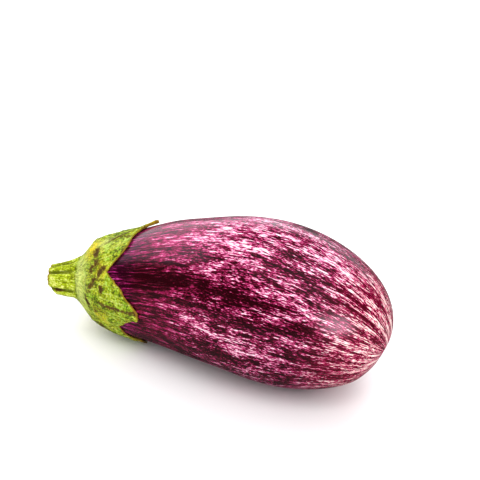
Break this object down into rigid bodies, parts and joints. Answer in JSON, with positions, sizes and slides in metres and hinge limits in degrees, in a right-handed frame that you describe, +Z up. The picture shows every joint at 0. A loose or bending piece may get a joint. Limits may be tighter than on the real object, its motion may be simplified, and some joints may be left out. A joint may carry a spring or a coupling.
{
  "type": "eggplant",
  "caption": "Striped eggplant lying on its side: a plump curved fruit with a lobed green calyx and a short ribbed cut stem.",
  "frame": {"origin": "centre of the small flat spot under the belly, on which the fruit rests", "axes": "+Z up, +X along the fruit from the cut stem to the blossom end, -Y the side that the picture shows"},
  "size_m": [0.1865, 0.0806, 0.0789],
  "materials": {
    "skin": "glossy waxy skin, dark maroon with pink and cream streaks",
    "calyx": "matte fleshy green with brown marks"
  },
  "bodies": {
    "root": {"fruit": "skin", "calyx_stem": "calyx"}
  },
  "joints": []
}
